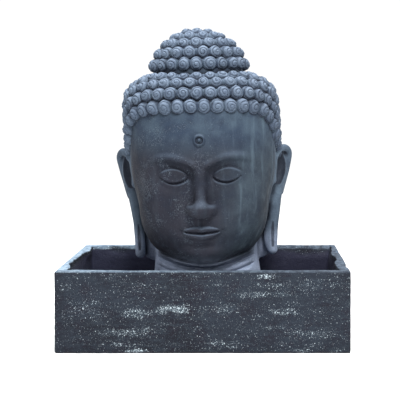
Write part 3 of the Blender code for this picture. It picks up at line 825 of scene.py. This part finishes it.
def curls_piece(name, curls, clay, finish):
    """Joins snail curls, given as points and groove depths, into one piece."""
    faces = curl_faces()
    points = np.concatenate([c[0] for c in curls])
    groove = np.concatenate([c[1] for c in curls])
    corners = np.concatenate([faces + n * len(curls[0][0]) for n in range(len(curls))])
    for depth, size, shifts in CURL_WEAR:
        points = points + depth * np.stack([unevenness(points, size, n) for n in shifts], 1)
    # Painted shade: openness, lowered further in the spiral grooves, darkens the curls in the hair's
    # finish.
    openness = np.minimum(clay.openness(points), 1.05) * (1 - GROOVE_PAINTED_SHADE * groove)
    made = new_mesh_object(name, placed(points), corners)
    set_share(made, "open", openness)
    finished(made, finish, "buddha_head")


# Meshes

def placed(points):
    """Turns the field's points to face -Y, fits them to the solid, and leans and seats the head."""
    scale = (head_high[2] - head_low[2]) / SOLID_SPAN
    x = (points[:, 0] - CROWN_BEND * np.maximum(points[:, 2] - CROWN, 0)) * scale
    y = -points[:, 1] * scale
    z = head_low[2] + (points[:, 2] - DESIGN_FOOT) * scale
    turned = np.stack([x, y, z - LEAN_PIVOT], 1) @ np.array(Matrix.Rotation(-HEAD_LEAN, 3, "Y")).T
    turned[:, 2] = np.maximum(turned[:, 2] + LEAN_PIVOT, head_low[2])
    return turned


def new_mesh_object(name, points, faces):
    mesh = bpy.data.meshes.new(name)
    mesh.from_pydata(points, [], faces)
    made = bpy.data.objects.new(name, mesh)
    bpy.context.scene.collection.objects.link(made)
    return made


def thinned(made, spared=None):
    """Thins a mesh of four-sided faces to a piece's most triangles, sparing a vertex group."""
    triangles = 2 * len(made.data.polygons)
    if triangles <= PIECE_TRIANGLES:
        return
    thin = made.modifiers.new("thin", "DECIMATE")
    thin.ratio = PIECE_TRIANGLES / triangles
    if spared:
        thin.vertex_group = spared
        thin.vertex_group_factor = FACE_CARE
    graph = bpy.context.evaluated_depsgraph_get()
    mesh = bpy.data.meshes.new_from_object(made.evaluated_get(graph))
    made.modifiers.clear()
    made.data = mesh


def set_share(made, name, values):
    attribute = made.data.attributes.new(name, "FLOAT", "POINT")
    attribute.data.foreach_set("value", np.clip(values, 0, 1).astype(np.float32))


def vertex_points(made):
    points = np.empty(len(made.data.vertices) * 3, np.float32)
    made.data.vertices.foreach_get("co", points)
    return points.reshape(-1, 3).astype(float)


def finished(made, finish, node):
    made.data.shade_smooth()
    made.data.materials.clear()
    made.data.materials.append(finish)
    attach(made, "root")
    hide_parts(node)


def keep_face_fine(made, points):
    """A vertex group whose low weights spare the face."""
    y, z = points.T[1:]
    face = ramp((y - 0.04) / 0.06) * ramp((HAIRLINE - 0.01 - z) / 0.03) * ramp((z - 0.29) / 0.02)
    group = made.vertex_groups.new(name="thinned")
    weights = np.round(1 - 0.9 * face, 1)
    for weight in np.unique(weights):
        chosen = np.nonzero(weights == weight)[0].tolist()
        group.add(chosen, float(weight), "REPLACE")
    return group.name


def make_head(clay, between):
    for spot, normal in between:
        add_dome(clay, spot, nodding(normal), LINK_RADIUS, LINK_RISE)
    weather(clay)
    clay.values[:, :, :2] = EMPTY
    points, faces = clay.skin()
    made = new_mesh_object("carved_head", points, faces)
    thinned(made, keep_face_fine(made, points))
    return made


def make_hair(curls, clay, finish):
    rng = np.random.default_rng(SEED)
    groups = {"hair_curls_front": [], "hair_curls_back": [], "topknot_curls": []}
    middle = np.median([spot[1] for spot, normal in curls if spot[2] <= TOPKNOT_BASE])
    for spot, normal in curls:
        if spot[2] > TOPKNOT_BASE:
            name = "topknot_curls"
        else:
            name = "hair_curls_front" if spot[1] > middle else "hair_curls_back"
        groups[name].append(curl_points(rng, spot, normal))
    for name, group in groups.items():
        curls_piece(name, group, clay, finish)


def make_sculpture(face_finish, hair_finish):
    clay = shaped_head()
    curls, between = hair_sites()
    made = make_head(clay, between)
    for spot, normal in curls:
        add_dome(clay, spot, nodding(normal), CURL_RADIUS, CURL_RISE)
    points = vertex_points(made)
    # Openness, with painted shade deep in the ears, drives the head finish's painted shade and painted
    # light.
    set_share(made, "open", clay.openness(points) * ear_painted_shade(points))
    made.data.vertices.foreach_set("co", placed(points).astype(np.float32).reshape(-1))
    made.data.flip_normals()
    made.data.update()
    finished(made, face_finish, "buddha_head")
    make_hair(curls, clay, hair_finish)


# Basin

def rounded_box(x, y, z, low, high, radius):
    off = [np.abs(p - (a + b) / 2) - (b - a) / 2 + radius for p, a, b in zip((x, y, z), low, high)]
    outside = np.sqrt(sum(np.maximum(o, 0) ** 2 for o in off))
    inside = np.minimum(np.maximum(np.maximum(off[0], off[1]), off[2]), 0)
    return outside + inside - radius


def basin_outside(x, y, z, slow, quick, small):
    """The sawn outer faces, with chips out of the right wall's rim."""
    low, high = basin_low + BASIN_INSET * np.array([1, 1, 0]), basin_high - BASIN_INSET
    side_rim = ramp((x - 0.38) / 0.06) * ramp((y + 0.24) / 0.05)
    chips = np.maximum(0.7 * slow + quick - 0.25, 0) * near_rim(z) * side_rim
    outside = rounded_box(x, y, z, low, high, OUTER_CORNER)
    return outside + 0.0006 * slow + 0.0006 * small + CHIP_DEPTH * chips


def basin_hollow(x, y, z, slow, quick):
    """The hand-cut inside, whose walls are wavy at the rim, with a chamfer along the back wall."""
    wall = WALL + (WALL_WAVE * slow + 0.003 * quick) * (0.25 + near_rim(z))
    share = np.clip((z - basin_high[2] + BACK_CHAMFER) / BACK_CHAMFER, 0, 1)
    chamfer = share * (0.5 * BACK_CHAMFER * (1.5 + x) + 0.004 * quick)
    low = (basin_low[0] + wall, basin_low[1] + wall, basin_low[2] + FLOOR)
    high = (basin_high[0] - wall, basin_high[1] - wall + chamfer, basin_high[2] + 0.1)
    return rounded_box(x, y, z, low, high, INNER_CORNER)


def near_rim(z):
    return ramp((z - basin_high[2] + 0.055) / 0.040)


def make_basin(finish):
    clay = Clay(basin_low - 0.02, basin_high + 0.02, BASIN_STEP)
    x, y, z = np.meshgrid(*clay.axes, indexing="ij", sparse=True)
    grid = np.stack(np.broadcast_arrays(x, y, z), -1)
    slow, quick, small = (unevenness(grid, size, n) for size, n in ((0.10, 6), (0.036, 7), (0.015, 8)))
    outer = basin_outside(x, y, z, slow, quick, small)
    clay.values[...] = -smooth_min(-outer, basin_hollow(x, y, z, slow, quick), 0.005)
    clay.values[:, :, :1] = EMPTY
    points, faces = clay.skin()
    points[:, 2] = np.maximum(points[:, 2], basin_low[2])
    made = new_mesh_object("basin_stone", points, faces)
    thinned(made)
    set_share(made, "open", clay.openness(vertex_points(made)))
    finished(made, finish, "basin")


# Materials

def on_screen(tone):
    """The shader's own values for a colour given as 0 to 255 on screen. A socket stays as it is."""
    if isinstance(tone, bpy.types.NodeSocket):
        return tone
    shares = [value / 255 for value in tone]
    return (*(s / 12.92 if s <= 0.04045 else ((s + 0.055) / 1.055) ** 2.4 for s in shares), 1.0)


class Nodes:
    """Short ways to add and link the nodes of one material."""

    def __init__(self, name):
        self.material = bpy.data.materials.new(name)
        self.material.use_nodes = True
        self.tree = self.material.node_tree
        self.shader = self.tree.nodes["Principled BSDF"]
        self.place = self.node("ShaderNodeTexCoord", "Object", {})
        self.base = None

    def node(self, kind, result, inputs, **settings):
        """Adds a node with these settings and inputs, and gives one of its outputs."""
        made = self.tree.nodes.new(kind)
        for name, value in settings.items():
            setattr(made, name, value)
        for name, value in inputs.items():
            self.put(made.inputs[name], value)
        return made.outputs[result]

    def put(self, socket, value):
        if isinstance(value, bpy.types.NodeSocket):
            self.tree.links.new(value, socket)
        else:
            socket.default_value = value

    def stretched(self, scale):
        return self.node("ShaderNodeMapping", "Vector", {"Vector": self.place, "Scale": scale})

    def noise(self, scale, detail=3.0, roughness=0.5, place=None):
        inputs = {"Vector": place or self.place, "Scale": scale, "Detail": detail, "Roughness": roughness}
        return self.node("ShaderNodeTexNoise", "Fac", inputs)

    def pits(self, scale):
        return self.node("ShaderNodeTexVoronoi", "Distance", {"Vector": self.place, "Scale": scale})

    def share(self, name):
        return self.node("ShaderNodeAttribute", "Fac", {}, attribute_name=name)

    def span(self, value, low, high, to_low=0.0, to_high=1.0):
        inputs = {"Value": value, "From Min": low, "From Max": high, "To Min": to_low, "To Max": to_high}
        return self.node("ShaderNodeMapRange", "Result", inputs, interpolation_type="SMOOTHSTEP")

    def maths(self, operation, a, b=0.0):
        return self.node("ShaderNodeMath", 0, {0: a, 1: b}, operation=operation)

    def times(self, a, b):
        return self.maths("MULTIPLY", a, b)

    def most(self, a, b):
        return self.maths("MAXIMUM", a, b)

    def mix(self, share, a, b):
        """From a to b, each a socket or a colour as 0 to 255 on screen."""
        inputs = {"Factor": share, "A": on_screen(a), "B": on_screen(b)}
        return self.node("ShaderNodeMix", "Result", inputs, data_type="RGBA")

    def lay(self, share, tone):
        """Covers the base colour with a tone, as far as the share says."""
        self.base = self.mix(share, self.base, tone)

    def axis(self, name):
        return self.node("ShaderNodeSeparateXYZ", name, {0: self.place})

    def facing(self, name):
        normal = self.node("ShaderNodeNewGeometry", "Normal", {})
        return self.node("ShaderNodeSeparateXYZ", name, {0: normal})

    def bump(self, height, strength, distance, under=None):
        inputs = {"Height": height, "Strength": strength, "Distance": distance}
        if under is not None:
            inputs["Normal"] = under
        return self.node("ShaderNodeBump", "Normal", inputs)


def grains(n, scale, thick, least, most):
    """Fine grains of pale mineral, more of them where the socket `thick` is high."""
    seen = n.maths("ADD", n.noise(scale, 1.5, 0.5), n.times(thick, 0.15))
    return n.span(seen, least, most)


def patch(n, side, height, wide, high, strength):
    """A soft oval patch of the front wall, 0 to `strength`."""
    across = n.maths("POWER", n.maths("DIVIDE", n.maths("SUBTRACT", n.axis("X"), side), wide), 2.0)
    up = n.maths("POWER", n.maths("DIVIDE", n.maths("SUBTRACT", n.axis("Z"), height), high), 2.0)
    return n.span(n.maths("ADD", across, up), 1.6, 0.0, 0.0, strength)


def hair_material():
    n = Nodes("hair_stone_finish")
    cloud, blotch, grain = n.noise(6.0, 5.0, 0.6), n.noise(30.0, 5.0, 0.6), n.noise(260.0, 4.0, 0.7)
    n.base = n.mix(n.span(cloud, 0.36, 0.66), (66, 78, 94), (84, 97, 113))
    n.lay(n.span(blotch, 0.45, 0.70, 0.0, 0.5), (58, 68, 86))
    n.lay(n.span(grain, 0.35, 0.75, 0.0, 0.45), (44, 52, 66))
    n.lay(n.span(n.noise(150.0, 4.0, 0.7), 0.54, 0.72, 0.0, 0.50), (112, 124, 138))
    n.lay(n.span(n.axis("X"), -0.05, 0.26, 0.0, 0.45), (46, 54, 68))
    # Painted shade in the hollows between and under the curls, where openness is low.
    n.lay(n.span(n.share("open"), 0.88, 0.36, 0.0, 0.74), (26, 31, 44))
    # Pale dust and painted top light on upward faces that stand free.
    dust_and_top_light = n.times(n.span(n.facing("Z"), 0.1, 0.9), n.span(n.share("open"), 0.7, 1.0))
    n.lay(n.times(dust_and_top_light, 0.55), (108, 121, 139))
    finish_sculpture(n, blotch, grain, 3.0)
    return n.material


def lay_face_tones(n, face, side, height):
    """The face's darker tones: blue over the forehead, and darker lower down the face, partly the stone's
    own tone and partly painted shade, brownish over the left cheek and bluer on the right.
    """
    forehead = n.mix(n.span(n.noise(11.0, 4.0), 0.38, 0.62), (34, 46, 62), (50, 63, 76))
    cheeks = n.mix(n.span(n.noise(9.0, 5.0, 0.65), 0.36, 0.62), (17, 20, 30), (27, 28, 37))
    right_tone = n.mix(n.span(n.noise(12.0, 4.0, 0.6), 0.38, 0.62), (29, 38, 48), (44, 55, 64))
    cheeks = n.mix(n.span(side, 0.02, 0.15, 0.0, 0.85), cheeks, right_tone)
    n.lay(face, forehead)
    # Darker lower down the face: partly the stone's own tone, partly painted shade.
    n.lay(n.times(face, n.span(height, 0.76, 0.62)), cheeks)


def head_material():
    n = Nodes("head_stone_finish")
    cloud, blotch, grain = n.noise(5.0, 6.0, 0.6), n.noise(26.0, 5.0, 0.6), n.noise(260.0, 4.0, 0.7)
    side, height = n.axis("X"), n.axis("Z")
    out = n.maths("ABSOLUTE", side)
    n.base = n.mix(n.span(cloud, 0.36, 0.66), (62, 74, 88), (76, 90, 104))
    throat = n.times(n.span(height, 0.40, 0.33), n.span(out, 0.205, 0.225, 1.0, 0.55))
    n.lay(throat, (146, 158, 182))
    face = n.times(n.span(height, 0.27, 0.33), n.span(n.axis("Y"), -0.02, -0.12))
    lay_face_tones(n, face, side, height)
    n.lay(n.span(blotch, 0.45, 0.72, 0.0, 0.45), (30, 36, 48))
    n.lay(n.span(grain, 0.35, 0.75, 0.0, 0.35), (30, 34, 44))
    streaks = n.noise(1.0, 4.0, 0.6, n.stretched((38.0, 38.0, 3.0)))
    wash = n.times(n.span(streaks, 0.50, 0.70), n.span(side, 0.00, 0.20, 0.04, 0.22))
    n.lay(wash, (92, 110, 122))
    # Painted shade in the hollows: weak low on the throat, full above it and out at the ears and lobes.
    painted_shade_zone = n.most(n.span(height, 0.30, 0.36, 0.10, 1.0), n.span(out, 0.215, 0.228))
    n.lay(n.times(n.span(n.share("open"), 0.90, 0.35, 0.0, 0.85), painted_shade_zone), (20, 22, 32))
    # Painted light on the freest ridges, where openness passes 1.
    n.lay(n.span(n.share("open"), 1.00, 1.10, 0.0, 0.35), (84, 98, 114))
    # Pale dust and painted top light on upward faces that stand free.
    dust_and_top_light = n.times(n.span(n.facing("Z"), 0.25, 0.95), n.span(n.share("open"), 0.6, 0.95))
    n.lay(n.times(dust_and_top_light, 0.45), (92, 106, 124))
    thick = n.times(n.span(n.noise(13.0, 4.0, 0.65), 0.42, 0.64), face)
    thick = n.times(thick, n.span(side, 0.10, -0.10, 0.25, 1.0))
    n.lay(n.times(grains(n, 380.0, thick, 0.68, 0.80), 0.35), (110, 122, 132))
    finish_sculpture(n, blotch, grain, 1.0)
    return n.material


def finish_sculpture(n, blotch, grain, rudeness):
    """The colour, roughness and pecked bumps that the sculpture's finishes share."""
    finish_stone(n, n.span(blotch, 0.3, 0.7, 0.66, 0.88))
    fine = n.bump(grain, 0.55, 0.0010)
    rough = n.bump(n.noise(80.0, 5.0, 0.65), 0.45, 0.0022 * rudeness, fine)
    n.put(n.shader.inputs["Normal"], n.bump(n.pits(170.0), 0.20, 0.0012, rough))


def finish_stone(n, roughness):
    n.put(n.shader.inputs["Base Color"], n.base)
    n.put(n.shader.inputs["Roughness"], roughness)
    n.shader.inputs["Specular IOR Level"].default_value = 0.16


def front_flecks(n, patches):
    """Where the pale flecks gather on the front wall."""
    bright = patch(n, *FLECK_PATCHES[0])
    for spot in FLECK_PATCHES[1:]:
        bright = n.most(bright, patch(n, *spot))
    front = n.span(n.facing("Y"), -0.5, -0.8)
    return n.times(n.times(bright, front), n.span(patches, 0.30, 0.56))


def lay_flecks(n, side):
    """Grey and white flecks in ragged level bands, fewer near the wall's ends."""
    bands = n.noise(1.0, 3.0, 0.6, n.stretched((3.5, 3.5, 24.0)))
    patches = n.noise(1.0, 4.0, 0.65, n.stretched((12.0, 12.0, 30.0)))
    thick = n.times(n.span(bands, 0.46, 0.62), n.span(patches, 0.46, 0.66))
    thick = n.most(n.times(thick, 0.60), front_flecks(n, patches))
    thick = n.times(thick, n.span(side, 0.488, 0.440))
    n.lay(n.times(grains(n, 420.0, thick, 0.54, 0.74), 0.45), (56, 68, 79))
    n.lay(n.span(thick, 0.3, 1.0, 0.0, 0.30), (66, 78, 86))
    white = n.most(grains(n, 240.0, thick, 0.705, 0.785), grains(n, 400.0, thick, 0.705, 0.785))
    n.lay(n.times(white, 0.85), (184, 198, 206))


def lay_inside(n, side, height):
    """The basin's inside in one even dark tone, made a little paler on the left by painted light."""
    inside = n.times(n.span(height, 0.268, 0.258), n.span(side, 0.478, 0.468))
    inside = n.times(inside, n.span(n.maths("ABSOLUTE", n.axis("Y")), 0.282, 0.272))
    # Painted light: paler towards the left.
    shade = n.mix(n.span(n.axis("X"), -0.20, 0.20), (40, 42, 59), (32, 33, 49))
    n.lay(n.times(inside, 0.96), shade)


def lay_rim_painted_light(n, height):
    """Painted light on the upward-facing tops of the walls, mottled, pale on the left and dull on the
    right.
    """
    # Painted light: upward faces at the rim, less of it on the front wall's top.
    top = n.times(n.span(n.facing("Z"), 0.35, 0.80), n.span(height, 0.235, 0.262))
    rightward = n.span(n.axis("X"), -0.45, 0.45)
    light = n.mix(rightward, (140, 158, 174), (82, 94, 108))
    dull = n.mix(rightward, (96, 114, 132), (46, 54, 66))
    mottle = n.mix(n.span(n.noise(60.0, 5.0, 0.7), 0.40, 0.60), dull, light)
    n.lay(n.times(top, n.span(n.axis("Y"), -0.300, -0.255, 0.45, 0.92)), mottle)


def basin_material():
    n = Nodes("basin_stone_finish")
    cloud, blotch, grain = n.noise(4.0, 6.0, 0.6), n.noise(22.0, 5.0, 0.65), n.noise(240.0, 4.0, 0.7)
    side, height = n.maths("ABSOLUTE", n.axis("X")), n.axis("Z")
    n.base = n.mix(n.span(cloud, 0.38, 0.64), (15, 18, 27), (25, 31, 41))
    n.lay(n.span(blotch, 0.46, 0.66, 0.0, 0.5), (28, 24, 32))
    n.lay(n.span(grain, 0.35, 0.75, 0.0, 0.3), (16, 18, 25))
    ripple = n.noise(1.0, 4.0, 0.7, n.stretched((16.0, 16.0, 95.0)))
    n.lay(n.span(ripple, 0.46, 0.64, 0.0, 0.40), (36, 44, 53))
    lay_flecks(n, side)
    lay_inside(n, side, height)
    lay_rim_painted_light(n, height)
    finish_stone(n, n.span(blotch, 0.3, 0.7, 0.64, 0.88))
    fine = n.bump(grain, 0.6, 0.0012)
    chisel = n.bump(n.noise(1.0, 4.0, 0.75, n.stretched((95.0, 95.0, 150.0))), 0.7, 0.0030, fine)
    n.put(n.shader.inputs["Normal"], n.bump(n.noise(40.0, 5.0, 0.65), 0.6, 0.0050, chisel))
    return n.material


# Stage

def make_floor(half=9):
    corners = [(-half, -half, 0), (half, -half, 0), (half, half, 0), (-half, half, 0)]
    made = new_mesh_object("floor", corners, [(0, 1, 2, 3)])
    n = Nodes("floor_paint")
    tone = n.maths("ADD", 0.95, n.times(n.noise(3.0, 2.0), 0.02))
    n.put(n.shader.inputs["Base Color"], tone)
    n.shader.inputs["Roughness"].default_value = 0.9
    made.data.materials.append(n.material)


def area_light(name, place, target, size, power, tint):
    light = bpy.data.lights.new(name, "AREA")
    light.shape = "DISK"
    light.size = size
    light.energy = power
    light.color = tint
    made = bpy.data.objects.new(name, light)
    bpy.context.scene.collection.objects.link(made)
    made.location = place
    made.rotation_euler = (Vector(place) - Vector(target)).to_track_quat("Z", "Y").to_euler()


def make_lights():
    world = bpy.data.worlds.new("studio")
    bpy.context.scene.world = world
    world.use_nodes = True
    backdrop = world.node_tree.nodes["Background"]
    backdrop.inputs["Color"].default_value = (1.0, 1.0, 1.0, 1)
    backdrop.inputs["Strength"].default_value = 1.06
    area_light("key", (0.6, -2.6, 3.4), target=(0, 0, 0.6), size=1.3, power=230, tint=(1.0, 0.99, 0.97))
    area_light("top", (-0.3, 0.2, 3.6), target=(0, 0, 0.9), size=1.8, power=130, tint=(0.95, 0.98, 1.0))


def make_camera():
    camera = bpy.data.cameras.new("camera")
    camera.sensor_width = SENSOR
    camera.lens = CAMERA_LENS
    camera.shift_x, camera.shift_y = CAMERA_SHIFT
    made = bpy.data.objects.new("camera", camera)
    bpy.context.scene.collection.objects.link(made)
    made.location = CAMERA_PLACE
    made.rotation_euler = (math.pi / 2 - CAMERA_PITCH, 0, 0)
    bpy.context.scene.camera = made


def main():
    make_sculpture(head_material(), hair_material())
    make_basin(basin_material())
    make_floor()
    make_lights()
    make_camera()
    bpy.context.scene.view_settings.view_transform = "Standard"


main()
